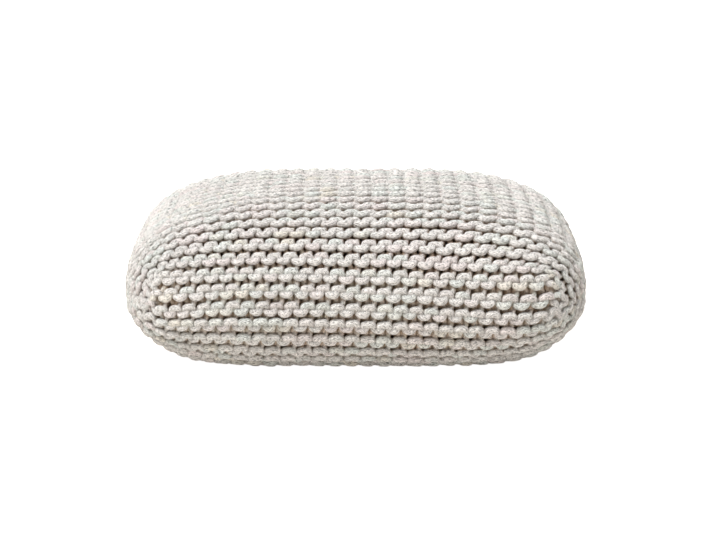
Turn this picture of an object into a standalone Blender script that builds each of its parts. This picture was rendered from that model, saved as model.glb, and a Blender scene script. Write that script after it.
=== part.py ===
"""A low floor pouf in chunky garter stitch, as one filled, closed solid.

The cover is one knitted rectangle wrapped round the filling. Its ridges run along X over the front,
the top, the back and the underside. The rows of the top turn down the two ends and those of the
underside turn up them, and they meet in a seam at mid height. The rows in the middle of the front and
of the back stop at the corners, in a short upright seam each.

The shape starts as a box, cut into one cell for each stitch and ridge. The box is laid on a pillow, its
cells are evened out as a knit's stitches are, and then the ridges and the seams are pressed in.

Metres, +Z up. The origin is under the middle of the pouf, on the surface that it rests on.
"""

import math

import bmesh
import bpy
import numpy as np

# Overall size, over the crests of the ridges
LENGTH = 0.600
DEPTH = 0.480
WIDEST_LEVEL = 0.0872  # from the floor up to where the pouf is widest
CROWN = 0.130  # from that level up to the top
BELLY = 0.132  # how far the lower half would reach down if nothing pressed on it

# How square each curve is: 2 is an ellipse, and more is nearer to a box
PLAN_POWER = 5.0
CROWN_POWER = 2.7
BELLY_POWER = 1.9
PRESSED_POWER = 14.0
PRESSED_FLAT = 0.0012  # what the floor flattens below the curve

# The knit
STITCHES_ALONG = 26
RIDGES_OVER_TOP = 21
RIDGES_UP_FRONT = 5
SEAM_LEVEL = 3  # the ridges of the front that lie below the seams

# The length of a stitch, and the height of a ridge, where each lies easy
FRONT_STITCH = 0.0190
CORNER_STITCH = 0.0300
TOP_STITCH = 0.0225
LEFT_END_STITCH = 0.0235
RIGHT_END_STITCH = 0.0300
LOW_END_SHARE = 2 / 3  # below the end seams, two stitches fill three cells
TOP_RIDGE = 0.0232
UNDER_RIDGE = 0.0211
LOW_RIDGE = 0.0245
PANEL_RIDGE = 0.0235
PANEL_CORNER_GROWTH = 0.5  # a panel's ridges are this share taller at its corners
END_SEAM_LEVEL = 0.015  # above the widest level, at the corners
END_SEAM_SAG = 0.0300  # how much lower the end seams are in the middle
DROOP = 0.011  # the front's rows hang lower towards the right
SAG = 0.008  # and the low rows hang lower on both sides of the middle

# Relief
VALLEY_DEPTH = 0.0075  # between two ridges
CORNER_SEAM_DEPTH = 0.010  # in the upright seams at the corners
END_SEAM_DEPTH = 0.009  # in the seams across the ends
RELIEF_FADE = 0.012  # the height over which the relief comes in above the floor

EVENING_PASSES = 1500
STIFFNESS = 6  # a stretched cell weighs more by this power of its stretch
SHORT_CELL = 0.8  # a cell that is shorter than this share of its own length grows again
PASS_STRIDE = 0.18
RIDGE_CUTS = 2  # cuts inside each ridge, so that it has a flat crest and two flanks
ABOUT_ZERO = 1e-4

HALF = np.array([LENGTH / 2, DEPTH / 2, 1.0])
CELLS = np.array([STITCHES_ALONG, RIDGES_OVER_TOP, RIDGES_UP_FRONT])


def out_of_pillow(points):
    """How far out each point lies: 1 on the pillow, less inside. The centre is on the widest level."""
    across = np.abs(points / HALF)
    plan = (across[:, 0] ** PLAN_POWER + across[:, 1] ** PLAN_POWER) ** (1 / PLAN_POWER)
    height = points[:, 2]
    upper = height >= 0
    power = np.where(upper, CROWN_POWER, BELLY_POWER)
    rise = np.abs(height) / np.where(upper, CROWN, BELLY)
    filled = (plan**power + rise**power) ** (1 / power)
    pressed = np.maximum(-height / WIDEST_LEVEL, 0)
    return (filled**PRESSED_POWER + pressed**PRESSED_POWER) ** (1 / PRESSED_POWER)


def onto_pillow(points):
    """Moves the points along lines from the centre until they lie on the pillow."""
    return points / out_of_pillow(points)[:, None]


def stitched_box():
    """A box of one unit for each stitch and ridge, cut into those units."""
    mesh = bmesh.new()
    bmesh.ops.create_cube(mesh, size=1.0)
    bmesh.ops.scale(mesh, vec=CELLS, verts=mesh.verts)
    bmesh.ops.translate(mesh, vec=CELLS / 2, verts=mesh.verts)
    cuts = [(axis, place) for axis in range(3) for place in range(1, CELLS[axis])]
    for axis, place in cuts:
        direction = [0.0, 0.0, 0.0]
        direction[axis] = 1.0
        everything = mesh.verts[:] + mesh.edges[:] + mesh.faces[:]
        at = [place * part for part in direction]
        bmesh.ops.bisect_plane(mesh, geom=everything, plane_co=at, plane_no=direction)
    return mesh


def keep_cell_places(mesh):
    """Stores each vertex's place in the box, counted in cells. New vertices get it by interpolation."""
    layer = mesh.verts.layers.float_vector.new("cells")
    for vertex in mesh.verts:
        vertex[layer] = vertex.co
    return layer


def cell_places(mesh, layer):
    """Each vertex's place in the box, as an array."""
    return np.array([vertex[layer] for vertex in mesh.verts])


def at_end(places, axis):
    """Which places lie on the box's two faces across this axis."""
    place = places[:, axis]
    return (place < ABOUT_ZERO) | (place > CELLS[axis] - ABOUT_ZERO)


def own_lengths(first, second):
    """The length that each cell edge takes where it lies easy, from the places of its two ends."""
    middle = (first + second) / 2
    way = np.abs(second - first).argmax(axis=1)
    side = np.abs(2 * middle[:, 0] / STITCHES_ALONG - 1)
    on_end = at_end(first, 0) & at_end(second, 0)
    on_front = at_end(first, 1) & at_end(second, 1)
    above_seam = middle[:, 2] > SEAM_LEVEL
    under = middle[:, 2] < ABOUT_ZERO

    front_stitch = FRONT_STITCH + (CORNER_STITCH - FRONT_STITCH) * side**3
    stitch = np.where(on_front, front_stitch, TOP_STITCH)
    ridge = np.where(under, UNDER_RIDGE, TOP_RIDGE)
    end_stitch = np.where(middle[:, 0] < STITCHES_ALONG / 2, LEFT_END_STITCH, RIGHT_END_STITCH)
    end_stitch = np.where(above_seam, end_stitch, end_stitch * LOW_END_SHARE)
    panel = PANEL_RIDGE * (1 + PANEL_CORNER_GROWTH * side**6)
    upright = np.where(on_end, end_stitch, np.where(above_seam, panel, LOW_RIDGE))
    return np.choose(way, [stitch, ridge, upright])


def end_seam_height(points):
    """How high the end seams lie above the widest level, by how near a point is to a corner."""
    return END_SEAM_LEVEL - END_SEAM_SAG * (1 - (points[:, 1] / HALF[1]) ** 2)


def even_out(mesh, places):
    """Lays the box on the pillow and evens out its cells.

    In each pass every point moves towards the mean of its neighbours. A neighbour across a stretched
    cell edge counts for more, and one across a short edge for less than nothing.
    """
    ends = np.array([[vertex.index for vertex in edge.verts] for edge in mesh.edges])
    own = own_lengths(places[ends[:, 0]], places[ends[:, 1]])
    on_seam = at_end(places, 0) & (np.abs(places[:, 2] - SEAM_LEVEL) < ABOUT_ZERO)

    box = np.array([LENGTH, DEPTH, WIDEST_LEVEL]) * (places / CELLS - 0.5)
    points = onto_pillow(box)
    for _ in range(EVENING_PASSES):
        way = points[ends[:, 1]] - points[ends[:, 0]]
        stretch = np.linalg.norm(way, axis=1) / own
        weight = stretch**STIFFNESS / own
        short = np.clip(SHORT_CELL / stretch - 1, 0, 2) / own
        move = np.zeros_like(points)
        np.add.at(move, ends[:, 0], (weight - short)[:, None] * way)
        np.add.at(move, ends[:, 1], (short - weight)[:, None] * way)
        total = np.zeros(len(points))
        np.add.at(total, ends, (weight + short)[:, None])
        points = onto_pillow(points + PASS_STRIDE * move / total[:, None])
        points[on_seam, 2] = end_seam_height(points[on_seam])
        points = onto_pillow(points)

    side = points / HALF
    hang = DROOP * side[:, 0] * side[:, 1] ** 3
    low = np.clip(0.5 - 10 * points[:, 2], 0, 1)
    hang -= SAG * side[:, 0] ** 2 * side[:, 1] ** 4 * low
    points[:, 2] += hang * (1 - side[:, 0] ** 6)
    return onto_pillow(points)


def split_ridges(mesh, layer):
    """Cuts each ridge lengthwise, so that it can rise between its two valleys."""
    edges = []
    for edge in mesh.edges:
        first, second = (np.array(vertex[layer]) for vertex in edge.verts)
        over = abs(first[1] - second[1]) > ABOUT_ZERO
        up = abs(first[2] - second[2]) > ABOUT_ZERO
        inner = ABOUT_ZERO < first[0] < STITCHES_ALONG - ABOUT_ZERO
        if over or (up and inner):
            edges.append(edge)
    bmesh.ops.subdivide_edges(mesh, edges=edges, cuts=RIDGE_CUTS, use_grid_fill=True)


def relief(places, height):
    """How deep each vertex lies below the crests: valleys, upright corner seams and the end seams."""
    on_front, on_end = at_end(places, 1), at_end(places, 0)
    row = np.where(on_front, places[:, 2], places[:, 1])
    crest = math.sin(math.pi / (RIDGE_CUTS + 1))
    rise = np.minimum(np.abs(np.sin(math.pi * row)) / crest, 1)
    depth = VALLEY_DEPTH * (1 - rise)
    depth[on_end & (np.abs(places[:, 2] - SEAM_LEVEL) < ABOUT_ZERO)] = END_SEAM_DEPTH
    depth[on_front & on_end & (places[:, 2] > SEAM_LEVEL - ABOUT_ZERO)] = CORNER_SEAM_DEPTH
    return depth * np.clip(height / RELIEF_FADE, 0, 1)


def knitted_solid():
    """The whole pouf as a mesh: evened out, ridged, seamed, pressed flat underneath and brought to size."""
    mesh = stitched_box()
    layer = keep_cell_places(mesh)
    mesh.verts.index_update()
    even = even_out(mesh, cell_places(mesh, layer))
    for vertex, point in zip(mesh.verts, even):
        vertex.co = point

    split_ridges(mesh, layer)
    surface = onto_pillow(np.array([vertex.co for vertex in mesh.verts]))
    for vertex, point in zip(mesh.verts, surface):
        vertex.co = point
    mesh.normal_update()

    floor = PRESSED_FLAT - WIDEST_LEVEL
    outward = np.array([vertex.normal for vertex in mesh.verts])
    depth = relief(cell_places(mesh, layer), surface[:, 2] - floor)
    final = surface - outward * depth[:, None]
    final[:, 2] = np.maximum(final[:, 2] - floor, 0)
    low, high = final[:, :2].min(axis=0), final[:, :2].max(axis=0)
    final[:, :2] = (final[:, :2] - (low + high) / 2) * (2 * HALF[:2]) / (high - low)
    for vertex, point in zip(mesh.verts, final):
        vertex.co = point
    return mesh


def cord_material():
    """Unbleached cotton cord: off-white, matt and a little fuzzy."""
    material = bpy.data.materials.new("cotton_cord")
    material.use_nodes = True
    shader = material.node_tree.nodes["Principled BSDF"]
    shader.inputs["Base Color"].default_value = (0.70, 0.65, 0.58, 1.0)
    shader.inputs["Roughness"].default_value = 0.9
    shader.inputs["Metallic"].default_value = 0.0
    return material


def main():
    for old in list(bpy.data.objects):
        bpy.data.objects.remove(old)
    pouf_collection = bpy.data.collections.new("knitted_pouf")
    bpy.context.scene.collection.children.link(pouf_collection)

    mesh = knitted_solid()
    pouf_mesh = bpy.data.meshes.new("knitted_pouf")
    mesh.to_mesh(pouf_mesh)
    mesh.free()
    pouf_mesh.shade_smooth()
    pouf_mesh.materials.append(cord_material())
    pouf = bpy.data.objects.new("knitted_pouf", pouf_mesh)
    pouf_collection.objects.link(pouf)


main()
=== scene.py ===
import math

import bmesh
import bpy
import numpy as np
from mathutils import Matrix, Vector


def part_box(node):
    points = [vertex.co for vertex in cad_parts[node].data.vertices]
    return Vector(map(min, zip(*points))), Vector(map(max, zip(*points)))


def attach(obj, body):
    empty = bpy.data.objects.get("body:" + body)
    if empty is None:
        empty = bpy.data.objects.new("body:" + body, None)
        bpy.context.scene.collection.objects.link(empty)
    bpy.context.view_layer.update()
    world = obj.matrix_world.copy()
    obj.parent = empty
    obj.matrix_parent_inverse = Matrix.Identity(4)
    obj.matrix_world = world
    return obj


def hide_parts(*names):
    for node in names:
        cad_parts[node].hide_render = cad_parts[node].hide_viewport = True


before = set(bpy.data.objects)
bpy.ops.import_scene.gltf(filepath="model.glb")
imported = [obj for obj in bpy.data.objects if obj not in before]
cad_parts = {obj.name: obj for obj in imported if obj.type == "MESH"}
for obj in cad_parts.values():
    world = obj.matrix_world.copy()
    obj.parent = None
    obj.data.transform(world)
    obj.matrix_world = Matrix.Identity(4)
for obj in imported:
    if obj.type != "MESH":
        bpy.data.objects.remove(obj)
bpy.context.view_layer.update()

poufLow, poufHigh = (np.array(corner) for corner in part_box("knitted_pouf"))
print("frame loaded, pouf", np.round(poufHigh - poufLow, 3))

# The pouf's form, in metres. The powers say how square a curve is: 2 is an ellipse.
poufForm = {
    "halfSize": (poufHigh - poufLow)[:2] / 2,
    "widestLevel": 0.398 * poufHigh[2],  # height where the pouf is widest
    "crown": 0.602 * poufHigh[2],  # from there to the top
    "belly": 0.611 * poufHigh[2],  # how deep the lower half would hang, unpressed
    "planPower": 5.0,
    "crownPower": 2.7,
    "bellyPower": 1.9,
    "pressedPower": 14.0,
}


def outOfPillow(points):
    # 1 on the pillow, less inside: plan = (|x/a|^p + |y/b|^p)^(1/p), then (plan^q + |z/c|^q)^(1/q),
    # joined by a high power to z / widest level, which presses the underside flat
    form = poufForm
    x, y = np.abs(points[..., 0]) / form["halfSize"][0], np.abs(points[..., 1]) / form["halfSize"][1]
    plan = (x ** form["planPower"] + y ** form["planPower"]) ** (1 / form["planPower"])
    height = points[..., 2]
    upper = height >= 0
    power = np.where(upper, form["crownPower"], form["bellyPower"])
    rise = np.abs(height) / np.where(upper, form["crown"], form["belly"])
    filled = (plan ** power + rise ** power) ** (1 / power)
    pressed = np.maximum(-height / form["widestLevel"], 0)
    hard = form["pressedPower"]
    return (filled ** hard + pressed ** hard) ** (1 / hard)


def ontoPillow(points):
    # slides each point along its line from the centre until it lies on the pillow
    return points / outOfPillow(points)[..., None]


def outward(points, step=2e-4):
    # unit normal = the gradient of outOfPillow, by central differences
    slope = [outOfPillow(points + way) - outOfPillow(points - way) for way in np.eye(3) * step]
    slope = np.stack(slope, axis=-1)
    return slope / np.linalg.norm(slope, axis=-1, keepdims=True)


# The cover is one garter-stitch rectangle wrapped round the filling: up the front, over the top, down the
# back and forward underneath. The panels in the middle of the front and the back end at upright corner
# seams. The other rows turn down the ends, or up them, and meet in a level seam.
knit = {
    "stitches": 26,  # along a panel, from corner seam to corner seam
    "turned": 3,  # more stitches of the other rows, round each end to the level seam
    "panelRidges": 2,
    "topRidges": 21,
    "lowRidges": 3,  # ridges of the underside's sheet that still lie on the front, and on the back
    "cells": 2,  # net cells to a stitch and to a ridge
    "seamLevel": 0.015,  # the end seams at the corners, above the widest level
    "seamSag": 0.030,  # and how much lower they are in the middle of the end
    "seamReach": 0.9,  # the share of the depth that the end seams take before they settle
    # how long a stitch and how high a ridge is where it lies easy
    "stitch": {"front": 0.0190, "corner": 0.0300, "top": 0.0192, "topLeft": 0.0204, "topRight": 0.0236,
               "leftEnd": 0.0240, "rightEnd": 0.0260},
    "ridge": {"top": 0.0232, "panel": 0.0235, "low": 0.0245, "under": 0.0211},
    "stitchGrowth": 5,  # the front's stitches grow with this power of the way to the corner
    "ridgeGrowth": 6,  # and a panel's ridges with this one,
    "cornerTaller": 0.5,  # by this share
    "topGrowth": (0.2, 0.9),  # the top's stitches grow between these shares of the way
    "stiffening": 8,  # a stretched stitch pulls with this power of its stretch
    "short": 0.8,  # below this share of its own length it pushes,
    "crowding": 0.5,  # this hard,
    "pushLimit": 2,  # up to this
    "uneven": 0.04,
    "startSize": (0.84, 0.84, 0.6),  # of half the length, half the depth and the widest level
    "settlingSteps": 900,
    "momentum": 0.9,
    "stride": 0.2,
    "droop": 0.011,  # rows on the front hang lower to the right
    "sag": 0.008,  # and lower on both sides of the middle,
    "sagSlope": 10,  # with this share more for each metre down
    "seed": 11,
}
randomNumbers = np.random.default_rng(knit["seed"])


def layOut():
    # the four sheets as grids of point numbers, rows along the first axis, with shared numbers where they
    # join; the points that are sewn half way between two others, as (point, other, other); and each
    # point's first place on a box from -1 to 1
    cells = knit["cells"]
    along, turned = knit["stitches"] * cells, knit["turned"] * cells
    panel, over, low = knit["panelRidges"] * cells, knit["topRidges"] * cells, knit["lowRidges"] * cells
    rows, wide = along + 2 * turned + 1, over + 2 * low + 1
    top = np.arange(rows * (over + 1)).reshape(rows, -1)
    count = top.size
    panels, sewn = [], []
    seamPlace = np.arange(panel + 1) * turned / panel
    whole = seamPlace == np.floor(seamPlace)
    for edge in (0, over):
        sheet = count + np.arange((along + 1) * (panel + 1)).reshape(along + 1, -1)
        count += sheet.size
        sheet[:, -1] = top[turned:turned + along + 1, edge]
        for column, seam in ((sheet[0], top[:, edge]), (sheet[-1], top[::-1, edge])):
            column[whole] = seam[seamPlace[whole].astype(int)]
            lower = np.floor(seamPlace[~whole]).astype(int)
            sewn.append(np.stack([column[~whole], seam[lower], seam[lower + 1]], axis=1))
        panels.append(sheet)
    under = count + np.arange(rows * wide).reshape(rows, -1)
    under[turned:turned + along + 1, 0] = panels[0][:, 0]
    under[turned:turned + along + 1, -1] = panels[1][:, 0]

    seamHeight = (low - panel) / (low + panel)
    a = np.arange(rows)[:, None] - turned
    beyond = np.maximum(np.maximum(-a, a - along), 0) / turned
    x = np.clip(2 * a / along - 1, -1, 1)
    b = np.arange(wide) - low
    y = np.clip(2 * b / over - 1, -1, 1)
    outside = np.maximum(np.maximum(-b, b - over), 0) / low
    z = -1 + outside * (seamHeight + 1)
    seamY = knit["seamReach"] * (2 * (b + low) / (wide - 1) - 1)
    k = np.arange(panel + 1) / panel
    start = np.zeros((count + under.size, 3))
    start[under] = np.stack(np.broadcast_arrays(
        x, (1 - beyond) * y + beyond * seamY, (1 - beyond) * z + beyond * seamHeight), axis=-1)
    for sheet, side in zip(panels, (-1, 1)):
        start[sheet] = np.stack(np.broadcast_arrays(
            x[turned:turned + along + 1], side, seamHeight + k * (1 - seamHeight)), axis=-1)
    start[top] = np.stack(np.broadcast_arrays(
        x, 2 * np.arange(over + 1) / over - 1, 1 - beyond * (1 - seamHeight)), axis=-1)

    numbers, packed = np.unique(
        np.concatenate([sheet.ravel() for sheet in (top, *panels, under)]), return_inverse=True)
    pieces = np.split(packed, np.cumsum([top.size, panels[0].size, panels[1].size]))
    shapes = (top.shape, panels[0].shape, panels[1].shape, under.shape)
    names = ("top", "front", "back", "under")
    named = {name: piece.reshape(shape) for name, piece, shape in zip(names, pieces, shapes)}
    return named, np.searchsorted(numbers, np.concatenate(sewn)), start[numbers]


def ownSizes(sheets):
    # every spring of the four sheets with its own length, by its place: a front stitch is front + (corner -
    # front) side^growth, a panel ridge panel (1 + taller side^growth), where side = 0 in the middle of the
    # row and 1 at the corner seams; the underside's sheet fades from front stitches to top stitches
    cells, stitch, ridge = knit["cells"], knit["stitch"], knit["ridge"]
    half = knit["stitches"] * cells / 2
    rows = sheets["top"].shape[0]
    place = np.arange(rows)[:, None] - (rows - 1) / 2
    middle = place[:-1] + 0.5
    side = np.abs(middle) / half
    ends = np.where(middle < 0, stitch["leftEnd"], stitch["rightEnd"])
    growth = np.minimum(side, 1) ** knit["stitchGrowth"]
    frontStitch = stitch["front"] + (stitch["corner"] - stitch["front"]) * growth
    even, grown = knit["topGrowth"]
    topStitch = np.interp(middle / half, (-grown, -even, even, grown),
                          [stitch[key] for key in ("topLeft", "top", "top", "topRight")])
    topStitch = np.where(side <= 1, topStitch, ends)
    inPanel = slice(knit["turned"] * cells, rows - knit["turned"] * cells)
    growth = np.abs(place[inPanel] / half) ** knit["ridgeGrowth"]
    panelRidge = ridge["panel"] * (1 + knit["cornerTaller"] * growth)
    line = np.arange(sheets["under"].shape[1])
    fromEdge = np.minimum(line, line[::-1]) / cells
    likeFront = np.clip(1 - fromEdge / (knit["lowRidges"] + 1), 0, 1)
    underStitch = frontStitch * likeFront + topStitch * (1 - likeFront)
    lowRidge = np.where((fromEdge[:-1] + fromEdge[1:]) / 2 < knit["lowRidges"], ridge["low"], ridge["under"])
    sizes = {
        "top": (topStitch, ridge["top"]),
        "front": (frontStitch[inPanel][:-1], panelRidge),
        "back": (frontStitch[inPanel][:-1], panelRidge),
        "under": (underStitch, lowRidge),
    }
    springs, own = [], []
    for name, grid in sheets.items():
        alongSize, acrossSize = sizes[name]
        ways = ((grid[:-1], grid[1:], alongSize), (grid[:, :-1], grid[:, 1:], acrossSize))
        for first, second, size in ways:
            springs.append(np.stack([first.ravel(), second.ravel()], axis=1))
            own.append(np.broadcast_to(size, first.shape).ravel() / cells)
    return np.concatenate(springs), np.concatenate(own)


def settle(sheets, sewn, start):
    # each point moves, with momentum, to the mean of its neighbours weighted by (length / own)^stiffening,
    # less a push where a stitch is short; then back onto the pillow, and seam points to the seam's level.
    # Last the rows hang: droop x y^3 less sag x^2 y^4, which fade out by 1 - x^6 towards the ends
    springs, own = ownSizes(sheets)
    own = own * (1 + knit["uneven"] * randomNumbers.normal(size=own.shape))
    first, second = springs.T
    top, under, turned = sheets["top"], sheets["under"], knit["turned"] * knit["cells"]
    joined = [top[0], top[-1], under[0], under[-1]]
    joined += [under[ends, edge] for edge in (0, -1)
               for ends in (slice(None, turned + 1), slice(-turned - 1, None))]
    seam = np.unique(np.concatenate(joined))

    def held(points):
        # sewn points half way between their two, all of them on the pillow, the seams' at their level
        points[sewn[:, 0]] = (points[sewn[:, 1]] + points[sewn[:, 2]]) / 2
        points = ontoPillow(points)
        for _ in range(2):
            side = points[seam, 1] / poufForm["halfSize"][1]
            points[seam, 2] = knit["seamLevel"] - knit["seamSag"] * (1 - side ** 2)
            points[seam] = ontoPillow(points[seam])
        return points

    size = np.array([*poufForm["halfSize"], poufForm["widestLevel"]]) * knit["startSize"]
    points = held(ontoPillow(start * size))
    speed = np.zeros_like(points)
    for _ in range(knit["settlingSteps"]):
        way = points[second] - points[first]
        length = np.linalg.norm(way, axis=1)
        pull = (length / own) ** knit["stiffening"] / own
        push = knit["crowding"] * np.clip(knit["short"] * own / length - 1, 0, knit["pushLimit"]) / own
        weight = sum(np.bincount(ends, pull + push, len(points)) for ends in (first, second))
        force = (pull - push)[:, None] * way
        total = [np.bincount(first, force[:, axis], len(points))
                 - np.bincount(second, force[:, axis], len(points)) for axis in range(3)]
        speed = knit["momentum"] * speed + knit["stride"] * np.stack(total, axis=1) / weight[:, None]
        moved = held(points + speed)
        speed = moved - points
        points = moved
    side = points[:, :2] / poufForm["halfSize"]
    hang = knit["droop"] * side[:, 0] * side[:, 1] ** 3
    lower = np.clip(0.5 - knit["sagSlope"] * points[:, 2], 0, 1)
    sag = knit["sag"] * side[:, 0] ** 2 * side[:, 1] ** 4 * lower
    points[:, 2] += (hang - sag) * (1 - side[:, 0] ** 6)
    return ontoPillow(points)


sheets, sewnPoints, startPlaces = layOut()
netPoints = settle(sheets, sewnPoints, startPlaces)
print("cover settled,", len(netPoints), "net points")

# the knitting's way up on each sheet: up the front, over the top, down the back, forward underneath
strips = {
    "front": sheets["front"],
    "top": sheets["top"],
    "back": sheets["back"][:, ::-1],
    "under": sheets["under"][:, ::-1],
}


def onStrip(grid, along, across):
    # Catmull-Rom both ways through the strip's points, then slid onto the pillow; past the rim the
    # grid carries on as its own mirror image, turned round
    rim = 4
    padded = np.pad(grid, ((rim, rim), (rim, rim), (0, 0)), mode="reflect", reflect_type="odd")

    def weights(place):
        start = np.floor(place).astype(int)
        f = place - start
        w = np.stack([-f + 2 * f ** 2 - f ** 3, 2 - 5 * f ** 2 + 3 * f ** 3,
                      f + 4 * f ** 2 - 3 * f ** 3, -f ** 2 + f ** 3], axis=-1) / 2
        return start + rim - 1, w

    i, wi = weights(along)
    j, wj = weights(across)
    result = 0
    for a in range(4):
        for b in range(4):
            corner = padded[np.clip(i + a, 0, padded.shape[0] - 1), np.clip(j + b, 0, padded.shape[1] - 1)]
            result = result + (wi[..., a] * wj[..., b])[..., None] * corner
    return ontoPillow(result)


def makePiece(name, points, faces, uv, values):
    # points (n, 3) and four-cornered faces (m, 4), where a repeated last corner makes a triangle; uv is one
    # pair to a corner, and values holds one number to a point
    threes = faces[:, 2] == faces[:, 3]
    keep = np.ones(faces.shape, dtype=bool)
    keep[threes, 3] = False
    mesh = bpy.data.meshes.new(name)
    mesh.vertices.add(len(points))
    mesh.vertices.foreach_set("co", points.astype(np.float32).ravel())
    mesh.loops.add(int(keep.sum()))
    mesh.loops.foreach_set("vertex_index", faces[keep].astype(np.int32))
    mesh.polygons.add(len(faces))
    total = keep.sum(axis=1)
    mesh.polygons.foreach_set("loop_start", (np.cumsum(total) - total).astype(np.int32))
    mesh.polygons.foreach_set("loop_total", total.astype(np.int32))
    mesh.update(calc_edges=True)
    mesh.shade_smooth()
    mesh.uv_layers.new(name="cordUV").data.foreach_set("uv", uv[keep].astype(np.float32).ravel())
    for key, value in values.items():
        attribute = mesh.attributes.new(key, "FLOAT", "POINT")
        attribute.data.foreach_set("value", value.astype(np.float32).ravel())
    piece = bpy.data.objects.new(name, mesh)
    bpy.context.scene.collection.objects.link(piece)
    return piece


# The cord, and one stitch of each kind of row. A stitch's points are, in turn: stitches along the row from
# the gap between two heads, ridges above the ridge's middle line, millimetres below the crests, thickness,
# and tube sections to the next point. A row's span says at which point of its first and of its last stitch
# it starts and ends: heads between two legs, feet in the middle of a foot. Over is what changes on the top,
# and low where the cover turns under: metres deeper, ridges further up, and times as thick.
cord = {
    "radius": 0.0045,
    "sides": 8,
    "head": {"span": (0, 0), "over": (0.0003, 0.00, 0.97), "low": (-0.0006, 0.03, 1.07), "path": [
        (0.12, -0.70, 16.0, 0.90, 1), (0.37, -0.46, 10.0, 0.84, 1), (0.28, -0.20, 10.2, 0.86, 2),
        (0.16, -0.02, 7.8, 0.90, 2), (0.22, 0.17, 5.2, 1.02, 2), (0.44, 0.225, 4.9, 1.04, 2),
        (0.67, 0.21, 4.7, 0.99, 2), (0.82, 0.07, 7.0, 0.88, 1), (0.78, -0.20, 10.8, 0.85, 1),
        (0.66, -0.48, 10.4, 0.84, 1), (0.88, -0.72, 16.0, 0.88, 1)]},
    "foot": {"span": (5.7, 5.7), "over": (-0.0002, 0.01, 1.02), "low": (0.0013, 0.05, 0.92), "path": [
        (-0.34, 0.76, 15.5, 0.86, 1), (-0.12, 0.60, 10.0, 0.80, 1), (-0.22, 0.37, 6.2, 0.82, 1),
        (-0.32, 0.13, 10.2, 0.80, 1), (-0.33, -0.05, 7.9, 0.82, 2), (-0.19, -0.17, 4.8, 0.98, 2),
        (0.04, -0.22, 3.8, 1.08, 2), (0.26, -0.16, 4.0, 1.06, 2), (0.40, 0.04, 5.9, 0.90, 2),
        (0.37, 0.28, 10.4, 0.84, 1), (0.46, 0.56, 13.5, 0.86, 1)]},
    "wander": (0.035, 0.028, 0.0004),  # how far a stitch strays: stitches, ridges, metres
    "carried": 0.3,  # the share of its straying that a stitch has from the one before
    "sunk": 1.5,  # all of the cord lies this many strayings deeper
    "uneven": 0.05,  # how much its thickness strays
    "usual": 0.0218,  # the size of a stitch that takes the cord at its own thickness
    "byLength": 0.25,  # how far that size is the stitch's length, and not its height
    "swing": (0.62, 1.06),  # how thin or thick the size of a stitch can make the cord
    "seamDip": 0.004,  # how deep the rows' ends go into the seams,
    "dipReach": 0.4,  # from this many stitches before
    "turnsOver": (0.050, 0.095),  # from this height to this one, from the widest level
    "turnsUnder": (0.014, -0.014),
    "endThin": 0.82,  # how thin the cord is drawn on the right end, where the stitches are longer
    "endFrom": 0.50,  # how far sideways the cover faces there, as the sine of the angle
    "endTo": 0.80,
    "sewing": {"radius": 0.0038, "cornerStitches": 4, "tintStep": 0.4, "span": (0, 0), "path": [
        (0.00, -0.0075, 10.5, 0.9, 2), (0.22, -0.0035, 5.2, 1.0, 2), (0.48, 0.0030, 5.0, 1.0, 2),
        (0.68, 0.0075, 9.5, 0.9, 2), (0.84, 0.0010, 15.0, 0.9, 2)]},
}


def stitchPath(shape, stitches):
    # Catmull-Rom through the shape's points, which repeat one stitch further on each time; also returns
    # the place of each section in the repeat, counted in stitches
    points = np.array(shape["path"])[:, :4]
    corners = len(points)
    sections = [point[4] for point in shape["path"]]
    steps = np.concatenate([number + np.arange(count) / count for number, count in enumerate(sections)])
    first, last = shape["span"]
    t = (np.arange(stitches + 1)[:, None] * corners + steps).ravel()
    t = np.append(t[(t >= first) & (t < stitches * corners + last)], stitches * corners + last)
    k = np.floor(t).astype(int)
    f = (t - k)[:, None]

    def corner(number):
        point = points[number % corners].copy()
        point[:, 0] += number // corners
        return point

    before, first, second, after = (corner(k + step) for step in (-1, 0, 1, 2))
    path = (2 * first + (second - before) * f + (2 * before - 5 * first + 4 * second - after) * f ** 2
            + (3 * first - before - 3 * second + after) * f ** 3) / 2
    return t / corners, path


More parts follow.
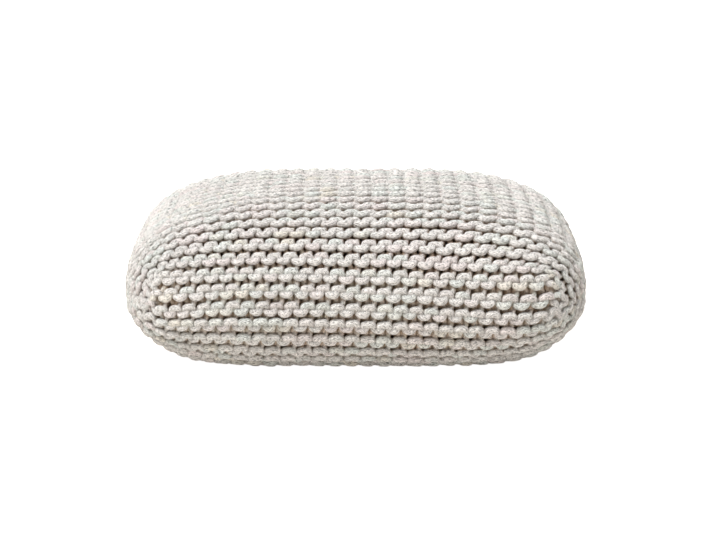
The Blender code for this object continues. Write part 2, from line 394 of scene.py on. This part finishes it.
def tubes(name, path, normals, radius, depth, tint):
    # a ring of points round each point of each path: path + radius (cos a side + sin a up), where
    # side = way x normal and up = side x way, from the inner side round; closed by a fan at both ends.
    # path is (rows, steps, 3). The cord's own coordinates are the run of the path in turns of the cord,
    # and the share of the turn; deep is each point's depth below the crests
    rows, steps, sides = path.shape[0], path.shape[1], cord["sides"]
    way = np.gradient(path, axis=1)
    way /= np.linalg.norm(way, axis=-1, keepdims=True)
    side = np.cross(way, normals)
    side /= np.linalg.norm(side, axis=-1, keepdims=True)
    up = np.cross(side, way)
    angle = np.arange(sides) * 2 * math.pi / sides - math.pi / 2
    ring = np.cos(angle)[:, None] * side[:, :, None] + np.sin(angle)[:, None] * up[:, :, None]
    points = path[:, :, None] + radius[:, :, None, None] * ring
    points = np.concatenate([points.reshape(rows, -1, 3), path[:, :1], path[:, -1:]], axis=1)

    m, k = (part.ravel() for part in np.meshgrid(np.arange(steps - 1), np.arange(sides), indexing="ij"))
    n = (k + 1) % sides
    walls = np.stack([m * sides + k, (m + 1) * sides + k, (m + 1) * sides + n, m * sides + n], axis=-1)
    around, turned = np.arange(sides), (np.arange(sides) + 1) % sides
    last, startCap = (steps - 1) * sides, np.full(sides, steps * sides)
    endCap = startCap + 1
    caps = np.concatenate([np.stack([around, turned, startCap, startCap], axis=-1),
                           np.stack([last + turned, last + around, endCap, endCap], axis=-1)])
    size = steps * sides + 2
    faces = (np.concatenate([walls, caps]) + (np.arange(rows) * size)[:, None, None]).reshape(-1, 4)

    run = np.cumsum(np.linalg.norm(np.diff(path, axis=1, prepend=path[:, :1]), axis=-1), axis=1)
    run = run / (2 * math.pi * cord["radius"])
    low, high = (np.broadcast_to(part / sides, (rows, len(k))) for part in (k, k + 1))
    corners = ((m, low), (m + 1, low), (m + 1, high), (m, high))
    uv = np.stack([np.stack([run[:, step], turn], axis=-1) for step, turn in corners], axis=-2)
    uv = np.concatenate([uv, np.zeros((rows, len(caps), 4, 2))], axis=1).reshape(-1, 4, 2)

    out = (ring * normals[:, :, None]).sum(axis=-1)
    deep = depth[:, :, None] - radius[:, :, None] * out
    values = {}
    for key, value in (("deep", deep), ("tint", np.repeat(tint[:, :, None], sides, axis=2))):
        value = value.reshape(rows, -1)
        values[key] = np.concatenate([value, value[:, :1], value[:, -1:]], axis=1)
    return makePiece(name, points.reshape(-1, 3), faces, uv, values)


def rowsOfCord(grid, ridges, shape):
    # rows laid on their strip: point = strip(along, across) - normal * depth, each stitch strayed a little.
    # Over and low come in with the height of the row's middle line. Depth and radius go with the size of
    # the stitch there, length^share * height^(1 - share) over the usual size, and the radius also with
    # thin^(how far round the right end)
    stitches = (grid.shape[0] - 1) // knit["cells"]
    t, path = stitchPath(shape, stitches)
    ridges = np.array(ridges)[:, None]
    stray = randomNumbers.normal(size=(len(ridges), 5, stitches + 3))
    stray[:, :, 1:-1] = (1 - cord["carried"]) * stray[:, :, 1:-1] + cord["carried"] * stray[:, :, :-2]
    knots = np.arange(stitches + 3) - 0.5
    aside, up, out, thick, tint = (
        np.array([np.interp(t, knots, row[kind]) for row in stray]) for kind in range(5))
    along = path[:, 0] + cord["wander"][0] * aside
    inside = np.clip(along, 0, stitches)

    def place(a, b):
        return onStrip(grid, a * knit["cells"], b * knit["cells"])

    level = place(inside, ridges + 0.5)[..., 2]
    deeper, further, thicker = 0, 0, 1
    for turn, (start, end) in (("over", cord["turnsOver"]), ("low", cord["turnsUnder"])):
        share = np.clip((level - start) / (end - start), 0, 1)
        deeper = deeper + shape[turn][0] * share
        further = further + shape[turn][1] * share
        thicker = thicker * shape[turn][2] ** share
    across = ridges + 0.5 + path[:, 1] + cord["wander"][1] * up + further
    depth = path[:, 2] / 1000 + cord["wander"][2] * (out + cord["sunk"]) + deeper
    toEnd = np.clip(np.minimum(along, stitches - along), 0, None)
    depth = depth + cord["seamDip"] * np.clip(1 - toEnd / cord["dipReach"], 0, 1) ** 2
    surface = place(inside, across)
    normal = outward(surface)
    middle = ridges + 0.5
    long, high = (np.linalg.norm(place(inside + a, middle + b) - place(inside - a, middle - b), axis=-1)
                  for a, b in ((0.5, 0.0), (0.0, 0.5)))
    share = cord["byLength"]
    size = np.clip(long ** share * high ** (1 - share) / cord["usual"], *cord["swing"])
    onEnd = np.clip((normal[..., 0] - cord["endFrom"]) / (cord["endTo"] - cord["endFrom"]), 0, 1)
    radius = cord["radius"] * path[:, 3] * (1 + cord["uneven"] * thick) * size * thicker
    radius = radius * cord["endThin"] ** onEnd
    depth = depth * size
    return surface - normal * depth[..., None], normal, radius, depth, tint


def onFloor(path, radius):
    # lifts the path from the pillow's own frame, and keeps its cords from reaching below the floor
    path = path.copy()
    path[..., 2] = np.maximum(path[..., 2] + poufForm["widestLevel"], radius)
    return path


def knitPiece(name, stripName, ridges):
    # the heads and the feet of these ridges of a strip, as one piece
    grid = netPoints[strips[stripName]]
    made = [rowsOfCord(grid, ridges, cord[kind]) for kind in ("head", "foot")]
    path, normal, radius, depth, tint = (np.concatenate(parts) for parts in zip(*made))
    return tubes(name, onFloor(path, radius), normal, radius, depth, tint)


def sewnSeams(name, lines, stitches):
    # overcast sewing along lines of the top strip, each from one (along, across) to another in net cells:
    # point = line + aside * (normal x way) - normal * depth, in the sewing stitch's own path
    sewing = cord["sewing"]
    grid = netPoints[strips["top"]]
    t, path = stitchPath(sewing, stitches)
    lines = np.array(lines, dtype=float)
    share = np.clip(path[:, 0] / stitches, 0, 1)[:, None]
    place = lines[:, None, 0] + share * (lines[:, None, 1] - lines[:, None, 0])
    line = onStrip(grid, place[..., 0], place[..., 1])
    normal = outward(line)
    way = np.gradient(line, axis=1)
    way /= np.linalg.norm(way, axis=-1, keepdims=True)
    line = line + np.cross(normal, way) * path[:, 1, None] - normal * path[:, 2, None] / 1000
    depth = np.broadcast_to(path[:, 2] / 1000, line.shape[:2])
    radius = np.broadcast_to(sewing["radius"] * path[:, 3], line.shape[:2])
    stray = np.cumsum(randomNumbers.normal(size=(len(lines), stitches + 1)), axis=1) * sewing["tintStep"]
    tint = np.array([np.interp(t, np.arange(stitches + 1), row) for row in stray])
    return tubes(name, onFloor(line, radius), normal, radius, depth, tint)


# the pieces of the knit, each some ridges of one strip: the top in two, the underside in three
panelRidges, topRidges = knit["panelRidges"], knit["topRidges"]
underRidges = topRidges + 2 * knit["lowRidges"]
half, third = topRidges // 2 + 1, underRidges // 3
knitGroups = {
    "knit_front": ("front", range(panelRidges)),
    "knit_back": ("back", range(panelRidges)),
    "knit_top_front": ("top", range(half)),
    "knit_top_back": ("top", range(half, topRidges)),
    "knit_under_back": ("under", range(third)),
    "knit_under_middle": ("under", range(third, 2 * third)),
    "knit_under_front": ("under", range(2 * third, underRidges)),
}
cordPieces = [knitPiece(name, *group) for name, group in knitGroups.items()]
endLine, edgeLine = sheets["top"].shape[0] - 1, sheets["top"].shape[1] - 1
cornerLine = knit["turned"] * knit["cells"]
cornerLines = [((end, edge), (corner, edge)) for edge in (0, edgeLine)
               for end, corner in ((0, cornerLine), (endLine, endLine - cornerLine))]
endLines = [((end, 0), (end, edgeLine)) for end in (0, endLine)]
cordPieces.append(sewnSeams("corner_seams", cornerLines, cord["sewing"]["cornerStitches"]))
cordPieces.append(sewnSeams("end_seams", endLines, topRidges))
print("rows knitted,", sum(2 * len(piece.data.polygons) for piece in cordPieces), "triangles")


# The filling's own case behind the knit, swelled by Blender's Cloth until it presses on the cords.
filling = {
    "inset": 0.0225,  # where it starts, inside the crests
    "joinWithin": 1e-5,
    "voxel": 0.009,
    "quality": 5,
    "pressure": 4.0,
    "frames": 20,
    "cap": 0.0075,  # the furthest that a point may swell
    "lowest": 0.004,  # above the floor
    "fill": 0.75,
    "levels": 1,
}


def evaluatedMesh(piece):
    # the mesh that the piece's modifiers give, as a mesh of its own
    return bpy.data.meshes.new_from_object(piece.evaluated_get(bpy.context.evaluated_depsgraph_get()))


def meshPoints(mesh):
    # the mesh's points as an array
    points = np.empty(3 * len(mesh.vertices), dtype=np.float32)
    mesh.vertices.foreach_get("co", points)
    return points.reshape(-1, 3).astype(float)


def fillingPiece():
    # the solid's points moved in along the pillow's normals, remeshed evenly, then swelled: each point goes
    # where the cloth takes it, but no further than the cap
    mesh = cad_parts["knitted_pouf"].data.copy()
    mesh.name = "filling_case"
    mesh.materials.clear()
    joined = bmesh.new()
    joined.from_mesh(mesh)
    bmesh.ops.remove_doubles(joined, verts=joined.verts, dist=filling["joinWithin"])
    joined.to_mesh(mesh)
    joined.free()
    centre = np.array([0, 0, poufForm["widestLevel"]])
    points = meshPoints(mesh) - centre
    points = points - outward(points) * filling["inset"] + centre
    mesh.vertices.foreach_set("co", points.astype(np.float32).ravel())
    piece = bpy.data.objects.new("filling_case", mesh)
    bpy.context.scene.collection.objects.link(piece)
    remesh = piece.modifiers.new("even", "REMESH")
    remesh.mode = "VOXEL"
    remesh.voxel_size = filling["voxel"]
    even = evaluatedMesh(piece)
    piece.modifiers.clear()
    piece.data = even
    even.name = "filling_case"
    swell(piece)
    even.shade_smooth()
    smooth = piece.modifiers.new("smooth", "SUBSURF")
    smooth.levels = filling["levels"]
    smooth.render_levels = filling["levels"]
    return piece


def swell(piece):
    # Cloth with pressure and no gravity, stepped frame by frame and then taken off again
    before = meshPoints(piece.data)
    cloth = piece.modifiers.new("pressure", "CLOTH")
    cloth.settings.quality = filling["quality"]
    cloth.settings.use_pressure = True
    cloth.settings.uniform_pressure_force = filling["pressure"]
    cloth.settings.effector_weights.gravity = 0
    for number in range(1, filling["frames"] + 1):
        bpy.context.scene.frame_set(number)
    swollen = evaluatedMesh(piece)
    move = meshPoints(swollen) - before
    length = np.linalg.norm(move, axis=1, keepdims=True)
    move = move * np.minimum(1, filling["cap"] / np.maximum(length, 1e-9))
    piece.modifiers.clear()
    after = before + move
    after[:, 2] = np.maximum(after[:, 2], filling["lowest"])
    piece.data.vertices.foreach_set("co", after.astype(np.float32).ravel())
    piece.data.update()
    bpy.data.meshes.remove(swollen)
    bpy.context.scene.frame_set(1)


fillingCase = fillingPiece()
print("filling swelled,", len(fillingCase.data.polygons), "faces")


# The finishes: colours, the tints' places on their ramp, the braid of the cord and the fibres on it. Three
# colours are painted shade: the braid's grooves, the depths between the ridges and the case behind the knit.
finish = {
    "cord": (0.919, 0.888, 0.851),
    "pink": (0.938, 0.862, 0.835),
    "green": (0.874, 0.902, 0.861),
    "cream": (0.944, 0.892, 0.800),
    # painted shade in the braid's grooves, mixed into the cord's colour where the braid lies low
    "grooveShade": (0.34, 0.30, 0.25),
    # painted shade down between the ridges, multiplied into the cord's colour by depth
    "deep": (0.62, 0.46, 0.32),
    # the case's colour: painted shade, dark brown for the shade behind the knit between the cords
    "caseShade": (0.480, 0.365, 0.260),
    "tintStops": ((0.14, "pink"), (0.44, "cord"), (0.56, "cord"), (0.70, "green"), (0.88, "cream")),
    "tintReach": 2.0,  # how many deviations of the tint the stops span, each way
    "deepFrom": 0.0030,  # depth below the crests where the shade begins
    "deepTo": 0.0105,
    "strands": 16,
    "picks": 11,
    "pickShare": 0.4,  # of the tone; the drawn noise has the rest
    "drawn": (9.0, 24.0, 1.0),  # how fine that noise is along the cord and round it
    "clear": (0.38, 0.51),  # where it goes from dull to clear
    "tone": (1.00, 0.20),  # tone 0 to 1 becomes a brightness: times the first, plus the second
    "soil": (0.16, 0.92),  # and the slow unevenness one in the same way
    "groove": {"from": 0.10, "to": 0.50, "most": 0.70},  # heights of the braid, and the groove's share
    "braidHeight": -0.7,  # the picks lie lower than the edges between them
    "fuzzHeight": 0.6,
    "cordBump": (0.9, 0.0018),  # strength and distance
    "caseBump": (0.6, 0.001),
    "cordFuzz": 900.0,  # how fine the fibres are
    "caseFuzz": 500.0,
    "caseDark": 0.6,
}


def addNode(tree, kind, inputs=None, **settings):
    # one node, its settings, and its inputs as values or as links from other sockets
    node = tree.nodes.new(kind)
    for key, value in settings.items():
        setattr(node, key, value)
    for key, value in (inputs or {}).items():
        if isinstance(value, bpy.types.NodeSocket):
            tree.links.new(value, node.inputs[key])
        else:
            node.inputs[key].default_value = value
    return node


def maths(tree, operation, *values):
    # one sum of values or sockets
    return addNode(tree, "ShaderNodeMath", dict(enumerate(values)), operation=operation).outputs[0]


def newGroup(name, inputs, outputs):
    # an empty group with these sockets, the outputs of its input node and the inputs of its output node
    group = bpy.data.node_groups.new(name, "ShaderNodeTree")
    for label, kind in inputs.items():
        group.interface.new_socket(name=label, in_out="INPUT", socket_type="NodeSocket" + kind)
    for label, kind in outputs.items():
        group.interface.new_socket(name=label, in_out="OUTPUT", socket_type="NodeSocket" + kind)
    return group, group.nodes.new("NodeGroupInput").outputs, group.nodes.new("NodeGroupOutput").inputs


def smoothStep(tree, value, start, end):
    # 0 below the start and 1 above the end, smooth between
    inputs = {"Value": value, "From Min": start, "From Max": end}
    return addNode(tree, "ShaderNodeMapRange", inputs, interpolation_type="SMOOTHSTEP").outputs["Result"]


def braidGroup():
    # two families of strands, a = strands v + picks u and b = strands v - picks u: height is the root of
    # |sin pi a| |sin pi b|, a rounded pick in each diamond; tone = share * root of a number of the pick's
    # own + (1 - share) * a noise drawn out along the cord, clear above its lower half
    group, given, result = newGroup(
        "braided cord", {"Place": "Vector", "Strands": "Float", "Picks": "Float"},
        {"Height": "Float", "Tone": "Float"})
    place = addNode(group, "ShaderNodeSeparateXYZ", {0: given["Place"]}).outputs
    around = maths(group, "MULTIPLY", place["Y"], given["Strands"])
    along = maths(group, "MULTIPLY", place["X"], given["Picks"])
    a, b = maths(group, "ADD", around, along), maths(group, "SUBTRACT", around, along)
    waves = [maths(group, "ABSOLUTE", maths(group, "SINE", maths(group, "MULTIPLY", part, math.pi)))
             for part in (a, b)]
    height = maths(group, "SQRT", maths(group, "MULTIPLY", *waves))
    group.links.new(height, result["Height"])
    cell = addNode(group, "ShaderNodeCombineXYZ", {0: maths(group, "FLOOR", a), 1: maths(group, "FLOOR", b)})
    pick = addNode(group, "ShaderNodeTexWhiteNoise", {"Vector": cell.outputs[0]}, noise_dimensions="2D")
    drawn = addNode(group, "ShaderNodeVectorMath", {0: given["Place"], 1: finish["drawn"]},
                    operation="MULTIPLY")
    strand = addNode(group, "ShaderNodeTexNoise", {"Vector": drawn.outputs[0], "Scale": 1.0, "Detail": 2.0})
    clear = smoothStep(group, strand.outputs["Fac"], *finish["clear"])
    tone = maths(group, "MULTIPLY", maths(group, "SQRT", pick.outputs["Value"]), finish["pickShare"])
    tone = maths(group, "MULTIPLY_ADD", clear, 1 - finish["pickShare"], tone)
    group.links.new(tone, result["Tone"])
    return group


def fuzzGroup():
    # short fibres: fine noise stretched at random by a coarser one, with a slow unevenness beside it
    group, given, result = newGroup(
        "cotton fuzz", {"Place": "Vector", "Scale": "Float"}, {"Height": "Float", "Soil": "Float"})
    warp = addNode(group, "ShaderNodeTexNoise", {"Vector": given["Place"], "Scale": 260.0, "Detail": 1.0})
    bent = addNode(group, "ShaderNodeVectorMath", {0: warp.outputs["Color"], "Scale": 0.004},
                   operation="SCALE")
    moved = addNode(group, "ShaderNodeVectorMath", {0: given["Place"], 1: bent.outputs[0]}, operation="ADD")
    fine = addNode(group, "ShaderNodeTexNoise",
                   {"Vector": moved.outputs[0], "Scale": given["Scale"], "Detail": 2.0, "Roughness": 0.7})
    slow = addNode(group, "ShaderNodeTexNoise", {"Vector": given["Place"], "Scale": 14.0, "Detail": 3.0})
    group.links.new(fine.outputs["Fac"], result["Height"])
    group.links.new(slow.outputs["Fac"], result["Soil"])
    return group


def depthGroup():
    # the mask of the painted shade between the ridges: 0 at the crests and 1 down between them, a smooth step
    # of the depth from From to To
    group, given, result = newGroup(
        "painted shade between the ridges", {"Depth": "Float", "From": "Float", "To": "Float"}, {"Mask": "Float"})
    group.links.new(smoothStep(group, given["Depth"], given["From"], given["To"]), result["Mask"])
    return group


groups = {"braid": braidGroup(), "fuzz": fuzzGroup(), "depth": depthGroup()}


def useGroup(tree, name, inputs):
    # the outputs of one use of a group
    return addNode(tree, "ShaderNodeGroup", inputs, node_tree=groups[name]).outputs


def mixColour(tree, factor, first, second, blend="MIX"):
    # two colours, or sockets, mixed; 0, 6 and 7 are the factor's and the colours' places on the Mix node
    first, second = ((*value, 1) if isinstance(value, tuple) else value for value in (first, second))
    inputs = {0: factor, 6: first, 7: second}
    return addNode(tree, "ShaderNodeMix", inputs, data_type="RGBA", blend_type=blend).outputs[2]


def newMaterial(name):
    # a material, its tree and its Principled shader
    material = bpy.data.materials.new(name)
    material.use_nodes = True
    return material, material.node_tree, material.node_tree.nodes["Principled BSDF"]


def addBump(tree, shader, height, strength, distance):
    # this height as a bump on the material's normal
    bump = addNode(tree, "ShaderNodeBump", {"Height": height, "Strength": strength, "Distance": distance})
    tree.links.new(bump.outputs["Normal"], shader.inputs["Normal"])


def cordMaterial():
    # off-white cotton: tint from stitch to stitch, a tone for each pick, painted shade in the braid's
    # grooves, and a brown painted shade down between the ridges
    material, tree, shader = newMaterial("cotton_cord")
    cordUv = addNode(tree, "ShaderNodeUVMap", uv_map="cordUV").outputs["UV"]
    place = addNode(tree, "ShaderNodeTexCoord").outputs["Object"]
    tint = addNode(tree, "ShaderNodeAttribute", attribute_name="tint").outputs["Fac"]
    deep = addNode(tree, "ShaderNodeAttribute", attribute_name="deep").outputs["Fac"]
    braid = useGroup(tree, "braid", {"Place": cordUv, "Strands": finish["strands"], "Picks": finish["picks"]})
    fuzz = useGroup(tree, "fuzz", {"Place": place, "Scale": finish["cordFuzz"]})
    depth = useGroup(tree, "depth", {"Depth": deep, "From": finish["deepFrom"], "To": finish["deepTo"]})
    spread = addNode(tree, "ShaderNodeMapRange", {
        "Value": tint, "From Min": -finish["tintReach"], "From Max": finish["tintReach"]})
    ramp = addNode(tree, "ShaderNodeValToRGB", {"Fac": spread.outputs["Result"]})
    stops = ramp.color_ramp.elements
    (firstPlace, firstName), *between, (lastPlace, lastName) = finish["tintStops"]
    stops[0].position, stops[0].color = firstPlace, (*finish[firstName], 1)
    stops[1].position, stops[1].color = lastPlace, (*finish[lastName], 1)
    for position, name in between:
        stops.new(position).color = (*finish[name], 1)
    tone = maths(tree, "MULTIPLY_ADD", braid["Tone"], *finish["tone"])
    tone = maths(tree, "MULTIPLY", tone, maths(tree, "MULTIPLY_ADD", fuzz["Soil"], *finish["soil"]))
    grey = addNode(tree, "ShaderNodeCombineColor", {0: tone, 1: tone, 2: tone}).outputs[0]
    toned = mixColour(tree, 1.0, ramp.outputs["Color"], grey, "MULTIPLY")
    # painted shade in the braid's grooves: the colour goes towards the groove shade where the braid's height
    # is low
    groove = finish["groove"]
    grooveShadeMask = addNode(tree, "ShaderNodeMapRange", {
        "Value": braid["Height"], "From Min": groove["from"], "From Max": groove["to"],
        "To Min": groove["most"], "To Max": 0.0})
    grooveShaded = mixColour(tree, grooveShadeMask.outputs["Result"], toned, finish["grooveShade"])
    # painted shade between the ridges: the colour times the brown shade, mixed in by the depth mask below the
    # crests
    shaded = mixColour(tree, 1.0, grooveShaded, finish["deep"], "MULTIPLY")
    tree.links.new(mixColour(tree, depth["Mask"], grooveShaded, shaded), shader.inputs["Base Color"])
    braided = maths(tree, "MULTIPLY", braid["Height"], finish["braidHeight"])
    height = maths(tree, "MULTIPLY_ADD", fuzz["Height"], finish["fuzzHeight"], braided)
    addBump(tree, shader, height, *finish["cordBump"])
    shader.inputs["Roughness"].default_value = 0.92
    shader.inputs["Specular IOR Level"].default_value = 0.2
    shader.inputs["Sheen Weight"].default_value = 0.15
    shader.inputs["Sheen Roughness"].default_value = 0.5
    return material


def caseMaterial():
    # plain cotton behind the knit, uneven and a little fuzzy; its dark brown is painted shade, the shade that
    # lies behind the knit between the cords
    material, tree, shader = newMaterial("filling_case")
    place = addNode(tree, "ShaderNodeTexCoord").outputs["Object"]
    fuzz = useGroup(tree, "fuzz", {"Place": place, "Scale": finish["caseFuzz"]})
    # the case's dark brown is painted shade for the shade behind the knit
    dark = tuple(finish["caseDark"] * part for part in finish["caseShade"])
    tree.links.new(mixColour(tree, fuzz["Height"], dark, finish["caseShade"]), shader.inputs["Base Color"])
    addBump(tree, shader, fuzz["Height"], *finish["caseBump"])
    shader.inputs["Roughness"].default_value = 1.0
    return material


cottonCord = cordMaterial()
for piece in cordPieces:
    piece.data.materials.append(cottonCord)
    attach(piece, "root")
fillingCase.data.materials.append(caseMaterial())
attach(fillingCase, "root")
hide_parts("knitted_pouf")
print("finishes made")


# The studio: a pale floor that glows a little, soft light from above and the camera at the photo's angle.
studio = {
    "halvesAway": 12,  # how far the camera stands, in halves of the pouf's length
    "halfInPixels": 224.9,  # how much of the picture such a half takes
    "pictureWide": 716,
    "sensor": 36,  # in mm
    "elevation": 12.8,
    "shift": (0.00265, 0.00698),
    "floor": 6.0,
    "floorColour": (0.80, 0.765, 0.715),
    "glowColour": (1.0, 0.95, 0.88),
    "glow": 0.18,  # what the pouf gets from the floor
    "white": 0.95,  # and how bright the camera sees it
    "sky": 0.465,
    # place, degrees across and strength
    "lights": {"key": ((-1.15, -0.75, 2.2), 22, 3.3), "top": ((0.1, 0.3, 2.5), 70, 1.2)},
}


def aim(thing, place, target):
    # puts a lamp or the camera at a place, looking at the target
    thing.location = place
    thing.rotation_euler = (Vector(target) - Vector(place)).to_track_quat("-Z", "Y").to_euler()
    bpy.context.scene.collection.objects.link(thing)


def makeStudio():
    # the floor is white to the camera and gives the pouf a weak, warm glow; the camera's lens = sensor *
    # distance in halves * pixels a half / picture width
    half = studio["floor"]
    corners = [(-half, -half, 0), (half, -half, 0), (half, half, 0), (-half, half, 0)]
    floorMesh = bpy.data.meshes.new("floor")
    floorMesh.from_pydata(corners, [], [(0, 1, 2, 3)])
    floor = bpy.data.objects.new("floor", floorMesh)
    bpy.context.scene.collection.objects.link(floor)
    paint, tree, paintShader = newMaterial("pale_floor")
    paintShader.inputs["Base Color"].default_value = (*studio["floorColour"], 1)
    paintShader.inputs["Roughness"].default_value = 0.8
    direct = addNode(tree, "ShaderNodeLightPath").outputs["Is Camera Ray"]
    glow = maths(tree, "MULTIPLY_ADD", direct, studio["white"] - studio["glow"], studio["glow"])
    tree.links.new(glow, paintShader.inputs["Emission Strength"])
    seen = mixColour(tree, direct, studio["glowColour"], (1.0, 1.0, 1.0))
    tree.links.new(seen, paintShader.inputs["Emission Color"])
    floorMesh.materials.append(paint)

    middle = (0, 0, poufForm["widestLevel"])
    for name, (place, spread, strength) in studio["lights"].items():
        light = bpy.data.lights.new(name, "SUN")
        light.angle = math.radians(spread)
        light.energy = strength
        aim(bpy.data.objects.new(name, light), place, middle)
    world = bpy.data.worlds.new("studio")
    world.use_nodes = True
    sky = world.node_tree.nodes["Background"]
    sky.inputs["Color"].default_value = (1, 1, 1, 1)
    sky.inputs["Strength"].default_value = studio["sky"]
    bpy.context.scene.world = world

    camera = bpy.data.objects.new("camera", bpy.data.cameras.new("camera"))
    lift = math.radians(studio["elevation"])
    distance = studio["halvesAway"] * poufForm["halfSize"][0]
    away = Vector((0, -math.cos(lift), math.sin(lift))) * distance
    aim(camera, Vector(middle) + away, middle)
    camera.data.sensor_width = studio["sensor"]
    camera.data.lens = (studio["sensor"] * studio["halvesAway"] * studio["halfInPixels"]
                        / studio["pictureWide"])
    camera.data.shift_x, camera.data.shift_y = studio["shift"]
    bpy.context.scene.camera = camera
    bpy.context.scene.view_settings.view_transform = "Standard"


makeStudio()
print("studio ready")
